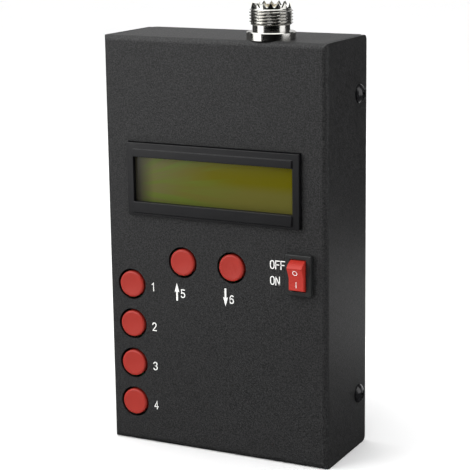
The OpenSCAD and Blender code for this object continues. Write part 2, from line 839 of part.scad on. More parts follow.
module plunger(i) {
    foot_top = board_face + switch_h - lid_t - snug;
    color([0.1, 0.1, 0.1]) button_frame(i) {
        rod(foot_d, foot_top - foot_h, foot_top);
        slab(stem_side, stem_side, foot_top - over, stem_face);
    }
}

module push_switch(i) {
    lid_face = board_face + switch_h;
    chamber_low = lid_face - lid_t - snug - foot_h - travel - disc_room;
    stem_hole = stem_side * sqrt(2) + 2 * plunger_gap;
    color([0.2, 0.2, 0.21]) button_frame(i) difference() {
        union() {
            slab(switch_side, switch_side, board_face, lid_face);
            rod(stem_hole + 2 * lid_t, board_face + over, lid_face + collar_h);
            for (s = [-1, 1], t = [-1, 1]) translate([s * leg_dx / 2, t * leg_dz / 2, 0]) {
                slab(leg_t, leg_w, board_back - pin_out, board_face + over);
                translate([-s * (leg_dx - switch_side) / 2, 0, 0])
                    slab(leg_dx - switch_side + leg_t, leg_w, board_face, board_face + leg_w);
            }
        }
        rod(foot_d + 2 * plunger_gap, chamber_low, lid_face - lid_t);
        rod(stem_hole, chamber_low, lid_face + collar_h + over);
    }
}

// ---------------------------------------------------------------- rocker switch

module rocker_frame() {
    front_frame() translate([rocker_x, rocker_z, 0]) children();
}

module pivot_frame() {
    rocker_frame() translate([0, 0, pivot_proud]) children();
}

module rocker_clips() {
    // Sprung clips behind the sheet, over and under the body
    for (t = [0, 1]) mirror([0, t, 0])
        translate([-rocker_body_w / 4, rocker_body_h / 2, 0]) rotate([90, 0, 90])
            linear_extrude(rocker_body_w / 2) polygon([
                [-over, -sheet_t - snug],
                [clip_reach, -sheet_t - snug],
                [clip_reach, -2 * sheet_t],
                [-over, -rocker_body_d / 2]
            ]);
}

module rocker_housing() {
    well_r = paddle_r + paddle_gap;
    color([0.06, 0.06, 0.07]) difference() {
        rocker_frame() union() {
            slab(rocker_bezel_w, rocker_bezel_h, 0, rocker_proud);
            slab(rocker_body_w, rocker_body_h, -rocker_body_d, over);
            rocker_clips();
        }
        // Well for the rocker: straight over the pivot and round under it
        pivot_frame() {
            slab(paddle_w + 2 * paddle_gap, 2 * well_r, 0, rocker_proud);
            rotate([0, 90, 0]) rod(2 * well_r, -paddle_w / 2 - paddle_gap, paddle_w / 2 + paddle_gap);
            rotate([0, 90, 0]) rod(pivot_d + 2 * pivot_gap,
                -paddle_w / 2 - pivot_len - over, paddle_w / 2 + pivot_len + over);
        }
    }
}

// Side outline of the rocker in its middle place, about its pivot
module paddle_outline() {
    crest = valley_r + paddle_r * tan(rocker_tilt);
    intersection() {
        circle(paddle_r);
        polygon([[-paddle_r, -pivot_d], [paddle_r, -pivot_d], [paddle_r, crest], [0, valley_r],
            [-paddle_r, crest]]);
    }
    translate([-paddle_foot / 2, -paddle_under]) square([paddle_foot, paddle_under]);
}

module rocker_paddle() {
    color([0.82, 0.15, 0.13]) pivot_frame() rotate([rocker_tilt, 0, 0]) {
        translate([-paddle_w / 2, 0, 0]) rotate([90, 0, 90]) linear_extrude(paddle_w) paddle_outline();
        rotate([0, 90, 0]) rod(pivot_d, -paddle_w / 2 - pivot_len, paddle_w / 2 + pivot_len);
    }
}

module rocker_terminals() {
    color([0.8, 0.78, 0.7]) rocker_frame() for (s = [-1, 1]) translate([0, s * blade_pitch / 2, 0])
        difference() {
            slab(blade_w, blade_t, -rocker_body_d - blade_len, -rocker_body_d);
            translate([0, 0, -rocker_body_d - 0.6 * blade_len]) rotate([90, 0, 0])
                rod(blade_w / 3, -blade_t, blade_t);
        }
}

// ---------------------------------------------------------------- antenna socket

module rim_notches() {
    notch_top_w = PI * rim_d / tooth_count;
    wall = (rim_d - rim_bore) / 2;
    for (i = [0 : tooth_count - 1]) rotate(tooth_turn + i * 360 / tooth_count)
        translate([rim_bore / 2 - wall, 0, 0]) rotate([90, 0, 90]) linear_extrude(3 * wall)
            polygon([
                [-notch_flat / 2, band_top],
                [notch_flat / 2, band_top],
                [notch_top_w / 2, rim_top + over],
                [-notch_top_w / 2, rim_top + over]
            ]);
}

module antenna_socket() {
    color([0.72, 0.72, 0.7]) socket_frame() difference() {
        union() {
            rod(flange_d, 0, flange_t - flange_cut);
            translate([0, 0, flange_t - flange_cut])
                cylinder(h = flange_cut, d1 = flange_d, d2 = flange_d - 2 * flange_cut);
            rod(neck_d, flange_t - over, neck_top);
            rod(thread_d, neck_top, thread_top);
            rod(rim_d, thread_top - over, rim_top);
            rod(rear_d, -rear_len, over);
        }
        rod(rim_bore, shoulder, rim_top + over);
        rod(insulator_rear_d + 2 * snug, -rear_len - over, shoulder + over);
        rim_notches();
    }
}

module antenna_insulator() {
    color([0.93, 0.93, 0.9]) socket_frame() difference() {
        union() {
            rod(rim_bore - 2 * snug, shoulder, insulator_top);
            rod(insulator_rear_d, insulator_low, shoulder + over);
        }
        rod(contact_d + 2 * snug, contact_low, insulator_top + over);
        rod(cup_d + 2 * snug, insulator_low - over, insulator_top);
    }
}

module antenna_contact() {
    color([0.8, 0.72, 0.45]) socket_frame() difference() {
        union() {
            rod(contact_d, contact_low, contact_top);
            rod(cup_d, cup_end, contact_low + over);
        }
        rod(contact_bore, contact_top - contact_depth, contact_top + over);
        for (a = [0, 90]) rotate(a)
            slab(contact_d + over, slit_w, contact_top - slit_len, contact_top + over);
        // Solder cup, half open to the front
        rod(cup_bore, cup_end - over, cup_end + cup_overlap);
        translate([0, -cup_d / 2, 0])
            slab(cup_d + over, cup_d, cup_end - over, cup_end + cup_overlap - cup_neck);
    }
}

module antenna_nut() {
    top = -sheet_t - tag_t;
    color([0.75, 0.75, 0.73]) socket_frame() difference() {
        hex_rod(nut_af, top - nut_t, top);
        rod(rear_d + 2 * snug, top - nut_t - over, top + over);
    }
}

module antenna_tag() {
    tongue_end = tag_d / 2 + tongue_reach;
    color([0.78, 0.76, 0.68]) socket_frame() difference() {
        union() {
            rod(tag_d, -sheet_t - tag_t, -sheet_t);
            translate([0, tongue_end / 2, 0])
                slab(tongue_w, tongue_end, -sheet_t - tag_t, -sheet_t);
            translate([0, tongue_end - tag_t / 2, 0])
                slab(tongue_w, tag_t, -sheet_t - tongue_drop, -sheet_t);
        }
        rod(rear_d + 2 * rear_gap, -sheet_t - tag_t - over, -sheet_t + over);
        // Straight front edge, clear of the case's folded edge
        translate([-tag_d / 2, bend_r - socket_setback - tag_d, -sheet_t - tag_t - over])
            cube([tag_d, tag_d, tag_t + 2 * over]);
    }
}

// ---------------------------------------------------------------- power and data sockets

// The jack's axis, Z up from the bottom face
module jack_frame() {
    translate([jack_x, front_y - board_back + jack_h / 2, 0]) children();
}

module usb_frame() {
    translate([-usb_x, front_y - board_back + usb_h / 2, 0]) children();
}

module power_jack() {
    color([0.08, 0.08, 0.08]) jack_frame() difference() {
        union() {
            slab(jack_w, jack_h, sheet_t + outlet_gap, sheet_t + outlet_gap + jack_len);
            rod(jack_nose_d, outlet_gap, sheet_t + outlet_gap + over);
        }
        rod(jack_bore, outlet_gap - over, jack_depth);
        rod(jack_pin_d + 2 * snug, jack_depth - over, jack_depth + pin_seat);
    }
}

module power_jack_pin() {
    color([0.8, 0.8, 0.78]) jack_frame()
        rod(jack_pin_d, outlet_gap + recess, jack_depth + pin_seat);
}

module usb_shell() {
    color([0.75, 0.75, 0.76]) usb_frame() difference() {
        slab(usb_w, usb_h, outlet_gap, outlet_gap + usb_len);
        slab(usb_w - 2 * usb_t, usb_h - 2 * usb_t, outlet_gap - over, usb_len - usb_t);
    }
}

module usb_tongue() {
    inside_w = usb_w - 2 * usb_t - 2 * snug;
    inside_h = usb_h - 2 * usb_t - 2 * snug;
    block_top = usb_len - usb_t;
    color([0.1, 0.1, 0.1]) usb_frame() {
        slab(inside_w, inside_h, block_top - usb_block, block_top);
        slab(usb_tongue_w, usb_tongue_t, outlet_gap + recess, block_top - usb_block + over);
    }
}

// ---------------------------------------------------------------- battery

// Middle of the holder across, its lower end in Y and the pad's face in Z
module battery_frame() {
    front_frame() translate([-battery_x, battery_low, pad_face]) children();
}

module cell_frame(i) {
    translate([(i - (cell_count - 1) / 2) * cell_pitch, 0, cell_axis - pad_face]) children();
}

module battery_pad() {
    color([0.85, 0.85, 0.8]) battery_frame()
        translate([0, holder_len / 2, 0])
            slab(holder_w - 2 * pad_margin, holder_len - 2 * pad_margin, -pad_t, 0);
}

module battery_holder() {
    cradle_r = cell_d / 2 + cell_gap;
    room = cell_len + 2 * contact_room;
    color([0.1, 0.1, 0.11]) battery_frame() difference() {
        translate([0, holder_len / 2, 0]) slab(holder_w, holder_len, 0, holder_depth);
        for (i = [0 : cell_count - 1]) cell_frame(i) translate([0, holder_end, 0]) {
            rotate([-90, 0, 0]) rod(2 * cradle_r, 0, room);
            translate([0, room / 2, 0]) slab(2 * cradle_r, room, 0, holder_depth);
        }
    }
}

module cell(i) {
    color([0.2, 0.35, 0.6]) battery_frame() cell_frame(i)
        translate([0, holder_end + contact_room, 0]) rotate([-90, 0, 0]) {
            rod(cell_d, 0, cell_len - tip_h);
            rod(tip_d, cell_len - tip_h - over, cell_len);
        }
}

// Bent strip on an end wall that presses on a cell, drawn in its side outline
module contact_strip() {
    reach = contact_room - touch_gap;
    rise = contact_strip_w / 2;
    translate([-contact_strip_w / 2, 0, 0]) rotate([90, 0, 90]) linear_extrude(contact_strip_w) {
        translate([0, -rise]) square([contact_strip_t, 2 * rise]);
        polygon([
            [0, -rise], [reach, -contact_strip_t], [reach, contact_strip_t], [0, rise],
            [0, rise - 2 * contact_strip_t], [reach - contact_strip_t, 0],
            [0, -rise + 2 * contact_strip_t]
        ]);
    }
}

module battery_contacts() {
    color([0.78, 0.78, 0.74]) battery_frame() for (i = [0 : cell_count - 1]) cell_frame(i) {
        translate([0, holder_end, 0]) contact_strip();
        translate([0, holder_len - holder_end, 0]) mirror([0, 1, 0]) contact_strip();
    }
}

// ---------------------------------------------------------------- electronics on the board's back

// Back side of the main board at a place, Z out of the board
module back_side(place) {
    front_frame() translate([place[0], board_top - place[1], board_back])
        mirror([0, 0, 1]) children();
}

// Block of a size [across, up, height], standing on a height
module block(size, low) {
    slab(size[0], size[1], low, size[2]);
}

// Chip with a row of legs on its left and right, lying on Z = 0
module chip(size, legs, pitch) {
    block(size, leg_t / 2);
    for (i = [0 : legs - 1]) translate([0, (i - (legs - 1) / 2) * pitch, 0])
        slab(size[0] + 2 * leg_reach, pitch * leg_share, 0, leg_t);
}

module controller_chip() {
    color([0.09, 0.09, 0.1]) back_side(controller_at)
        chip(controller_size, controller_leg_count, wide_pitch);
}

module synthesizer_chip() {
    color([0.09, 0.09, 0.1]) back_side(synthesizer_at)
        chip(synthesizer_size, synthesizer_leg_count, fine_pitch);
}

module amplifier_chip() {
    color([0.09, 0.09, 0.1]) back_side(amplifier_at)
        chip(amplifier_size, amplifier_leg_count, wide_pitch);
}

module clock_oscillator() {
    color([0.75, 0.76, 0.78]) back_side(oscillator_at) {
        block(oscillator_rim, 0);
        block(oscillator_size, 0);
    }
}

module voltage_regulator() {
    half = regulator_size[1] / 2;
    color([0.1, 0.1, 0.1]) back_side(regulator_at) {
        block(regulator_size, leg_t);
        translate([0, half + regulator_tab[1] / 2 - over, 0]) block(regulator_tab, 0);
        for (i = [-1 : 1])
            translate([i * regulator_pitch, -half - regulator_leg[1] / 2 + over, 0])
                block(regulator_leg, 0);
    }
}

module contrast_trimmer() {
    top = trimmer_size[2];
    color([0.15, 0.3, 0.65]) back_side(trimmer_at) difference() {
        block(trimmer_size, 0);
        rod(trimmer_dial_d, top - trimmer_dial_depth, top + over);
    }
}

module filter_capacitors() {
    color([0.7, 0.7, 0.72]) for (drop = capacitor_drops) back_side([capacitor_x, drop]) {
        block(capacitor_base, 0);
        rod(capacitor_d, 0, capacitor_h);
    }
}

// Toroid lying on its side, its edges rounded
module bridge_transformer() {
    low_r = transformer_size[0] / 2;
    high_r = transformer_size[1] / 2;
    height = transformer_size[2];
    edge = transformer_size[3];
    color([0.25, 0.25, 0.27]) back_side(transformer_at) rotate_extrude() {
        translate([low_r + edge, 0]) square([high_r - low_r - 2 * edge, height]);
        translate([low_r, edge]) square([high_r - low_r, height - 2 * edge]);
        for (x = [low_r + edge, high_r - edge], y = [edge, height - edge])
            translate([x, y]) circle(edge);
    }
}

// ---------------------------------------------------------------- nodes

front_shell();
back_cover();
cover_screws();
lcd_bezel();
lcd_gasket();
lcd_glass();
lcd_backlight();
lcd_board();
lcd_header();
lcd_spacers();
lcd_screws();
lcd_nuts();
main_board();
board_standoffs();
board_screws();
cap(0);  // cap_1
cap(1);  // cap_2
cap(2);  // cap_3
cap(3);  // cap_4
cap(4);  // cap_up
cap(5);  // cap_down
plunger(0);  // plunger_1
plunger(1);  // plunger_2
plunger(2);  // plunger_3
plunger(3);  // plunger_4
plunger(4);  // plunger_up
plunger(5);  // plunger_down
push_switch(0);  // switch_1
push_switch(1);  // switch_2
push_switch(2);  // switch_3
push_switch(3);  // switch_4
push_switch(4);  // switch_up
push_switch(5);  // switch_down
rocker_housing();
rocker_paddle();
rocker_terminals();
antenna_socket();
antenna_insulator();
antenna_contact();
antenna_nut();
antenna_tag();
power_jack();
power_jack_pin();
usb_shell();
usb_tongue();
battery_holder();
cell(0);  // cell_1
cell(1);  // cell_2
cell(2);  // cell_3
battery_contacts();
battery_pad();
controller_chip();
synthesizer_chip();
amplifier_chip();
clock_oscillator();
voltage_regulator();
contrast_trimmer();
filter_capacitors();
bridge_transformer();
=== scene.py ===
"""Looks of the antenna analyzer, with its floor, backdrop, lights and camera.

Every node gets its finish here. The script also makes the socket's thread, the screws' recesses,
the softened edges, the even rings of the button caps and the printed labels.

Metres, in the part's own frame: +Z is up, the front faces -Y and X runs to the right.
"""

import json
import math

import bmesh
import bpy
from mathutils import Matrix, Vector
from mathutils.bvhtree import BVHTree


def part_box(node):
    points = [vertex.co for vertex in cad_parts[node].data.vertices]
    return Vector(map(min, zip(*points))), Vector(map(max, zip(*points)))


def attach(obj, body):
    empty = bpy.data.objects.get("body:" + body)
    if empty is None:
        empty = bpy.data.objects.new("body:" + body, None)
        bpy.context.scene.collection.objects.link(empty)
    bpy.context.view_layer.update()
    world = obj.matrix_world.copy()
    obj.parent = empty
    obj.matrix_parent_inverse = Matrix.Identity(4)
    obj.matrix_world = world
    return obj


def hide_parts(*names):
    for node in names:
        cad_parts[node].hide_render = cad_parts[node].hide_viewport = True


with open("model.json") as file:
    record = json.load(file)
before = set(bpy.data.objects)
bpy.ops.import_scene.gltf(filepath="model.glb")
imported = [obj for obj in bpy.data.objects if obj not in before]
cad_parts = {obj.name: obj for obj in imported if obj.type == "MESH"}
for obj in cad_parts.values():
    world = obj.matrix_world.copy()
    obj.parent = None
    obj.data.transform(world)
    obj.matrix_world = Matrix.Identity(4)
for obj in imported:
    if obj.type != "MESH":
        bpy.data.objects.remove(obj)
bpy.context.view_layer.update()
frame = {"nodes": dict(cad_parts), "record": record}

MM = 0.001
NODES = frame["nodes"]
BODY = {
    node: body
    for body, nodes in frame["record"]["behaviour"]["bodies"].items()
    for node in nodes
}
SLOT = {row["node"]: row["material_slot"] for row in frame["record"]["subparts"]}
CASE = "case"
# Corners of a mesh that lie closer than this are one corner
WELD = 0.0005 * MM


# ---------------------------------------------------------------- measures from the frame

def middle(node):
    """Middle of a node's box."""
    low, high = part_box(node)
    return (low + high) / 2


case_low, case_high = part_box("front_shell")
FRONT_Y = case_low.y


# ---------------------------------------------------------------- node helpers

class Tree:
    """Short way to write a material's node tree."""

    def __init__(self, name):
        self.material = bpy.data.materials.new(name)
        self.material.use_nodes = True
        self.nodes = self.material.node_tree.nodes
        self.links = self.material.node_tree.links
        self.nodes.clear()
        self.output = self.nodes.new("ShaderNodeOutputMaterial")
        self.shader = self.nodes.new("ShaderNodeBsdfPrincipled")
        self.links.new(self.shader.outputs["BSDF"], self.output.inputs["Surface"])
        self.place = self.nodes.new("ShaderNodeTexCoord").outputs["Object"]

    def node(self, kind, inputs=None, **settings):
        """A new node with values or links at its inputs."""
        made = self.nodes.new("ShaderNode" + kind)
        for key, value in settings.items():
            setattr(made, key, value)
        for key, value in (inputs or {}).items():
            socket = made.inputs[key]
            if isinstance(value, bpy.types.NodeSocket):
                self.links.new(value, socket)
            else:
                socket.default_value = value
        return made

    def noise(self, per_mm, detail=3.0, roughness=0.55, place=None):
        """Noise between 0 and 1, with about per_mm waves to the millimetre."""
        inputs = {"Scale": per_mm / MM, "Detail": detail, "Roughness": roughness}
        inputs["Vector"] = self.place if place is None else place
        return self.node("TexNoise", inputs).outputs["Fac"]

    def ramp(self, value, low, high, out_low=0.0, out_high=1.0):
        """Linear map of a value from one span to another, held at its ends."""
        inputs = {0: value, 1: low, 2: high, 3: out_low, 4: out_high}
        return self.node("MapRange", inputs).outputs[0]

    def math(self, operation, first, second=0.0):
        """Result of a sum on two values."""
        return self.node("Math", {0: first, 1: second}, operation=operation).outputs[0]

    def mix(self, share, first, second):
        """Colour between two colours."""
        made = self.nodes.new("ShaderNodeMix")
        made.data_type = "RGBA"
        for index, value in ((0, share), (6, first), (7, second)):
            if isinstance(value, bpy.types.NodeSocket):
                self.links.new(value, made.inputs[index])
            else:
                made.inputs[index].default_value = value
        return made.outputs[2]

    def set(self, **values):
        """Values or links of the shader's sockets; _ stands for a space in a socket's name."""
        for key, value in values.items():
            socket = self.shader.inputs[key.replace("_", " ")]
            if isinstance(value, bpy.types.NodeSocket):
                self.links.new(value, socket)
            else:
                socket.default_value = value

    def bump(self, height, depth_mm, strength=1.0, under=None):
        """Normal of a surface raised by a height, on top of another normal or none."""
        inputs = {"Height": height, "Distance": depth_mm * MM, "Strength": strength}
        if under is not None:
            inputs["Normal"] = under
        return self.node("Bump", inputs).outputs["Normal"]


def shade(color, factor):
    """A colour made lighter or darker."""
    return tuple(min(1.0, channel * factor) for channel in color[:3]) + (1.0,)


# ---------------------------------------------------------------- materials

def powder_coat(name, color):
    """Baked powder coat: fine orange peel, darker pits and a faint cloudiness."""
    tree = Tree(name)
    grain = tree.noise(2.1, detail=2.0, roughness=0.6)
    pits = tree.noise(3.6, detail=2.0)
    cloud = tree.noise(0.035, detail=3.0)
    base = tree.mix(tree.ramp(cloud, 0.35, 0.65), shade(color, 0.93), shade(color, 1.07))
    speck = tree.mix(tree.ramp(grain, 0.38, 0.68), shade(color, 0.2), shade(color, 2.2))
    mixed = tree.mix(0.7, base, speck)
    rough = tree.ramp(pits, 0.3, 0.7, 0.45, 0.62)
    under = tree.bump(grain, 0.1, 1.0)
    normal = tree.bump(pits, 0.03, 0.6, under)
    tree.set(Base_Color=mixed, Roughness=rough, Normal=normal, Specular_IOR_Level=0.3)
    return tree.material


def moulded(name, color, rough=0.45, grain=0.012, per_mm=3.0, level=0.5, spread=0.08):
    """Moulded plastic: an even colour with slight flow clouds and a fine grain."""
    tree = Tree(name)
    cloud = tree.noise(0.12, detail=2.0)
    fine = tree.noise(per_mm, detail=2.0)
    base = tree.mix(cloud, shade(color, 1.0 - spread), shade(color, 1.0 + spread))
    tree.set(
        Base_Color=base,
        Roughness=tree.ramp(fine, 0.25, 0.75, rough - 0.05, rough + 0.07),
        Normal=tree.bump(fine, grain, 0.5),
        Specular_IOR_Level=level,
    )
    return tree.material


def plated(name, color, rough=0.16, spread=0.1, grain=0.004):
    """Plated metal with fine turning marks and a little tarnish."""
    tree = Tree(name)
    marks = tree.node("Mapping", {"Vector": tree.place, "Scale": (0.25, 0.25, 6.0)}).outputs[0]
    lines = tree.noise(1.2, detail=2.0, place=marks)
    tarnish = tree.noise(0.3, detail=4.0)
    base = tree.mix(tree.ramp(tarnish, 0.35, 0.7), shade(color, 1.0), shade(color, 1.0 - spread))
    tree.set(
        Base_Color=base,
        Metallic=1.0,
        Roughness=tree.ramp(tarnish, 0.3, 0.7, rough, rough + 0.1),
        Normal=tree.bump(lines, grain, 0.4),
    )
    return tree.material


def painted_black(name, color, rough, level=0.5):
    """Thin satin paint on steel sheet."""
    tree = Tree(name)
    fine = tree.noise(4.0, detail=2.0)
    mottle_and_sheen = tree.noise(0.2, detail=3.0)
    base = tree.mix(mottle_and_sheen, shade(color, 0.85), shade(color, 1.15))
    tree.set(
        Base_Color=base,
        Roughness=tree.ramp(mottle_and_sheen, 0.3, 0.7, rough - 0.05, rough + 0.06),
        Normal=tree.bump(fine, 0.006, 0.4),
        Specular_IOR_Level=level,
    )
    return tree.material


def circuit_board(name, color):
    """Green solder mask over tracks that run in straight steps."""
    tree = Tree(name)
    flat = tree.node("Mapping", {"Vector": tree.place, "Rotation": (math.pi / 2, 0, 0)}).outputs[0]
    tracks = tree.node(
        "TexBrick",
        {"Vector": flat, "Scale": 160.0, "Mortar Size": 0.045, "Color1": (0, 0, 0, 1),
         "Color2": (0, 0, 0, 1), "Mortar": (1, 1, 1, 1)},
        offset=0.37,
    ).outputs["Color"]
    base = tree.mix(tracks, shade(color, 1.0), shade(color, 2.2))
    tree.set(Base_Color=base, Roughness=0.32, Normal=tree.bump(tracks, 0.03, 0.6))
    return tree.material


# Display's colours: olive and khaki tones, a green for the painted sheen streaks and a dark one for
# the painted shadow at the left end
DISPLAY_OLIVE = (0.085, 0.075, 0.0015, 1)
DISPLAY_KHAKI = (0.088, 0.084, 0.028, 1)
DISPLAY_SHEEN_GREEN = (0.075, 0.105, 0.016, 1)
DISPLAY_PAINTED_SHADOW = (0.028, 0.026, 0.018, 1)
# Point that the painted sheen streaks run out from: left of the window's left end, and up, in
# shares of the window
FAN_LEFT = 0.12
FAN_UP = 0.34


def display(name):
    """Unlit yellow-green display behind glass, with painted sheen streaks that run out from its
    left end and a painted shadow that darkens its left end.
    """
    tree = Tree(name)
    low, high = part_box("lcd_glass")
    place = tree.node("SeparateXYZ", {"Vector": tree.place})
    across = tree.ramp(place.outputs["X"], low.x, high.x)
    up = tree.ramp(place.outputs["Z"], low.z, high.z)
    # Height in the window over its distance from the left end, even along a painted sheen streak
    fan = tree.math("DIVIDE", tree.math("SUBTRACT", up, FAN_UP), tree.math("ADD", across, FAN_LEFT))
    fan_place = tree.node("CombineXYZ", {"X": fan, "Y": tree.math("MULTIPLY", across, 0.5)})
    # Painted sheen: this noise draws the streaks of reflected light across the glass
    mottle_and_sheen = tree.node(
        "TexNoise", {"Vector": fan_place.outputs[0], "Scale": 3.4, "Detail": 3.0, "Roughness": 0.5}
    ).outputs["Fac"]
    leftward = tree.ramp(across, 0.18, 0.5, 1.0, 0.0)
    below = tree.ramp(up, 0.42, 0.56, 1.0, 0.0)
    pale = tree.math("MAXIMUM", leftward, tree.math("MULTIPLY", below, 0.55))
    tone = tree.mix(pale, DISPLAY_OLIVE, DISPLAY_KHAKI)
    # Painted sheen: greenish streaks of reflected light, fading out towards the right
    green_sheen = tree.math(
        "MULTIPLY", tree.ramp(mottle_and_sheen, 0.44, 0.58), tree.ramp(across, 0.35, 0.7, 1.0, 0.0)
    )
    tone = tree.mix(tree.math("MULTIPLY", green_sheen, 0.75), tone, DISPLAY_SHEEN_GREEN)
    # Painted shadow: the window's left end darkened where the bezel's left wall shades it
    tone = tree.mix(tree.ramp(across, 0.05, 0.14), DISPLAY_PAINTED_SHADOW, tone)
    tree.set(Base_Color=tone, Roughness=0.12, Specular_IOR_Level=0.15)
    return tree.material


COLORS = {row["slot"]: tuple(row["base_color"][:3]) for row in frame["record"]["materials"]}

MATERIALS = {
    "case_paint": powder_coat("case_paint", (0.0175, 0.0175, 0.018)),
    "black_screw": painted_black("black_screw", (0.01, 0.01, 0.011), 0.2),
    "bezel_black": painted_black("bezel_black", (0.006, 0.006, 0.007), 0.36, level=0.32),
    "black_rubber": moulded("black_rubber", (0.006, 0.006, 0.006), rough=0.7, level=0.2),
    "display_glass": display("display_glass"),
    "light_guide": moulded("light_guide", COLORS["light_guide"], rough=0.2),
    "circuit_board": circuit_board("circuit_board", COLORS["circuit_board"]),
    "black_plastic": moulded("black_plastic", COLORS["black_plastic"], rough=0.5),
    "gloss_black": moulded("gloss_black", (0.02, 0.021, 0.021), rough=0.38, level=0.35),
    "natural_nylon": moulded("natural_nylon", COLORS["natural_nylon"], rough=0.5),
    "plated_steel": plated("plated_steel", COLORS["plated_steel"], rough=0.25),
    "bare_aluminium": plated("bare_aluminium", COLORS["bare_aluminium"], rough=0.3),
    "button_red": moulded("button_red", (0.32, 0.024, 0.016), rough=0.34, level=0.3, spread=0.05),
    "rocker_red": moulded("rocker_red", (0.42, 0.026, 0.017), rough=0.4, level=0.3, spread=0.05),
    "plated_brass": plated("plated_brass", (0.6, 0.59, 0.56), rough=0.14),
    "white_insulator": moulded("white_insulator", COLORS["white_insulator"], rough=0.55),
    "gilt_brass": plated("gilt_brass", (0.74, 0.67, 0.52), rough=0.25),
    "blue_plastic": moulded("blue_plastic", COLORS["blue_plastic"], rough=0.4),
    "cell_wrap": moulded("cell_wrap", COLORS["cell_wrap"], rough=0.3),
    "foam_tape": moulded("foam_tape", COLORS["foam_tape"], rough=0.85, per_mm=1.5, grain=0.05),
    "ferrite": moulded("ferrite", COLORS["ferrite"], rough=0.8, per_mm=2.0, grain=0.03),
    "label_white": moulded("label_white", (0.82, 0.82, 0.8), rough=0.6, grain=0.004),
}


def dress(obj, slot):
    """Gives a piece one material, in place of what it has."""
    obj.data.materials.clear()
    obj.data.materials.append(MATERIALS[slot])


for node, obj in NODES.items():
    dress(obj, SLOT[node])


# ---------------------------------------------------------------- pieces

def added(name, data):
    """A new object in the scene."""
    obj = bpy.data.objects.new(name, data)
    bpy.context.scene.collection.objects.link(obj)
    return obj


def activate(obj):
    """Makes an object the only one that Blender's operators work on."""
    bpy.ops.object.select_all(action="DESELECT")
    obj.select_set(True)
    bpy.context.view_layer.objects.active = obj


def new_piece(name, mesh, body, slot, material=None):
    """A shown piece that rides on a body, with its slot's material or another one."""
    obj = added(name, mesh)
    dress(obj, material or slot)
    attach(obj, body)
    return obj


def mesh_from(name, bm):
    """The finished mesh of an edited one, which is given up."""
    mesh = bpy.data.meshes.new(name)
    bm.to_mesh(mesh)
    bm.free()
    return mesh


def welded(node):
    """A node's mesh for editing, its doubled corners joined."""
    bm = bmesh.new()
    bm.from_mesh(NODES[node].data)
    bmesh.ops.remove_doubles(bm, verts=bm.verts, dist=WELD)
    return bm


def smooth_by_angle(obj, degrees=35.0):
    """Smooth shading that keeps edges sharper than an angle."""
    activate(obj)
    bpy.ops.object.shade_auto_smooth(angle=math.radians(degrees))
    for modifier in list(obj.modifiers):
        bpy.ops.object.modifier_apply(modifier=modifier.name)


# Angles in degrees: faces that bend less are one face, and edges that bend more are rounded
FLAT_ANGLE = 0.5
SHARP_ANGLE = 30.0
EDGE_STEPS = 3


def softened(node, width):
    """A node's shape with its sharp edges rounded, in place of the node."""
    bm = welded(node)
    bmesh.ops.dissolve_limit(
        bm, angle_limit=math.radians(FLAT_ANGLE), verts=bm.verts, edges=bm.edges,
        delimit={"NORMAL"},
    )
    edges = [
        e for e in bm.edges
        if len(e.link_faces) == 2 and e.calc_face_angle() > math.radians(SHARP_ANGLE)
    ]
    bmesh.ops.bevel(
        bm, geom=edges, offset=width, offset_type="OFFSET", segments=EDGE_STEPS,
        profile=0.5, affect="EDGES", clamp_overlap=True, harden_normals=False,
    )
    obj = new_piece(node + "_look", mesh_from(node + "_look", bm), BODY[node], SLOT[node])
    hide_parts(node)
    smooth_by_angle(obj)
    weighted = obj.modifiers.new("weighted", "WEIGHTED_NORMAL")
    weighted.mode = "FACE_AREA"
    weighted.keep_sharp = True
    bpy.ops.object.modifier_apply(modifier=weighted.name)


# ---------------------------------------------------------------- floor, light and camera

# The photo's camera: degrees, metres and pixels
CAMERA_AZIMUTH = 25.583
CAMERA_ELEVATION = 12.021
CAMERA_ROLL = -0.466
CAMERA_DISTANCE = 561.01 * MM
CAMERA_TARGET = Vector((24.69 * MM, FRONT_Y, 94.72 * MM))
PICTURE = 470.0
FOCAL_PIXELS = 1570.3
PRINCIPAL = (275.0, 212.0)
SENSOR_WIDTH = 36.0
CLIP_NEAR, CLIP_FAR = 0.01, 50.0


def direction(azimuth, elevation):
    """Unit vector from the object to a viewer at an azimuth and an elevation, in degrees."""
    a, e = math.radians(azimuth), math.radians(elevation)
    return Vector((math.sin(a) * math.cos(e), -math.cos(a) * math.cos(e), math.sin(e)))


def make_camera():
    """Camera at the photo's place, its lens shift as large as the photo's framing needs."""
    data = bpy.data.cameras.new("camera")
    camera = added("camera", data)
    back = direction(CAMERA_AZIMUTH, CAMERA_ELEVATION)
    right = Vector((0, 0, 1)).cross(back).normalized()
    up = back.cross(right)
    roll = math.radians(CAMERA_ROLL)
    turned_right = right * math.cos(roll) + up * math.sin(roll)
    turned_up = up * math.cos(roll) - right * math.sin(roll)
    place = Matrix((turned_right, turned_up, back)).transposed().to_4x4()
    place.translation = CAMERA_TARGET + back * CAMERA_DISTANCE
    camera.matrix_world = place
    data.sensor_width = SENSOR_WIDTH
    data.lens = FOCAL_PIXELS / PICTURE * data.sensor_width
    data.shift_x = (PICTURE / 2 - PRINCIPAL[0]) / PICTURE
    data.shift_y = (PRINCIPAL[1] - PICTURE / 2) / PICTURE
    data.clip_start, data.clip_end = CLIP_NEAR, CLIP_FAR
    bpy.context.scene.camera = camera


# Half of the floor's side
FLOOR_REACH = 12.0


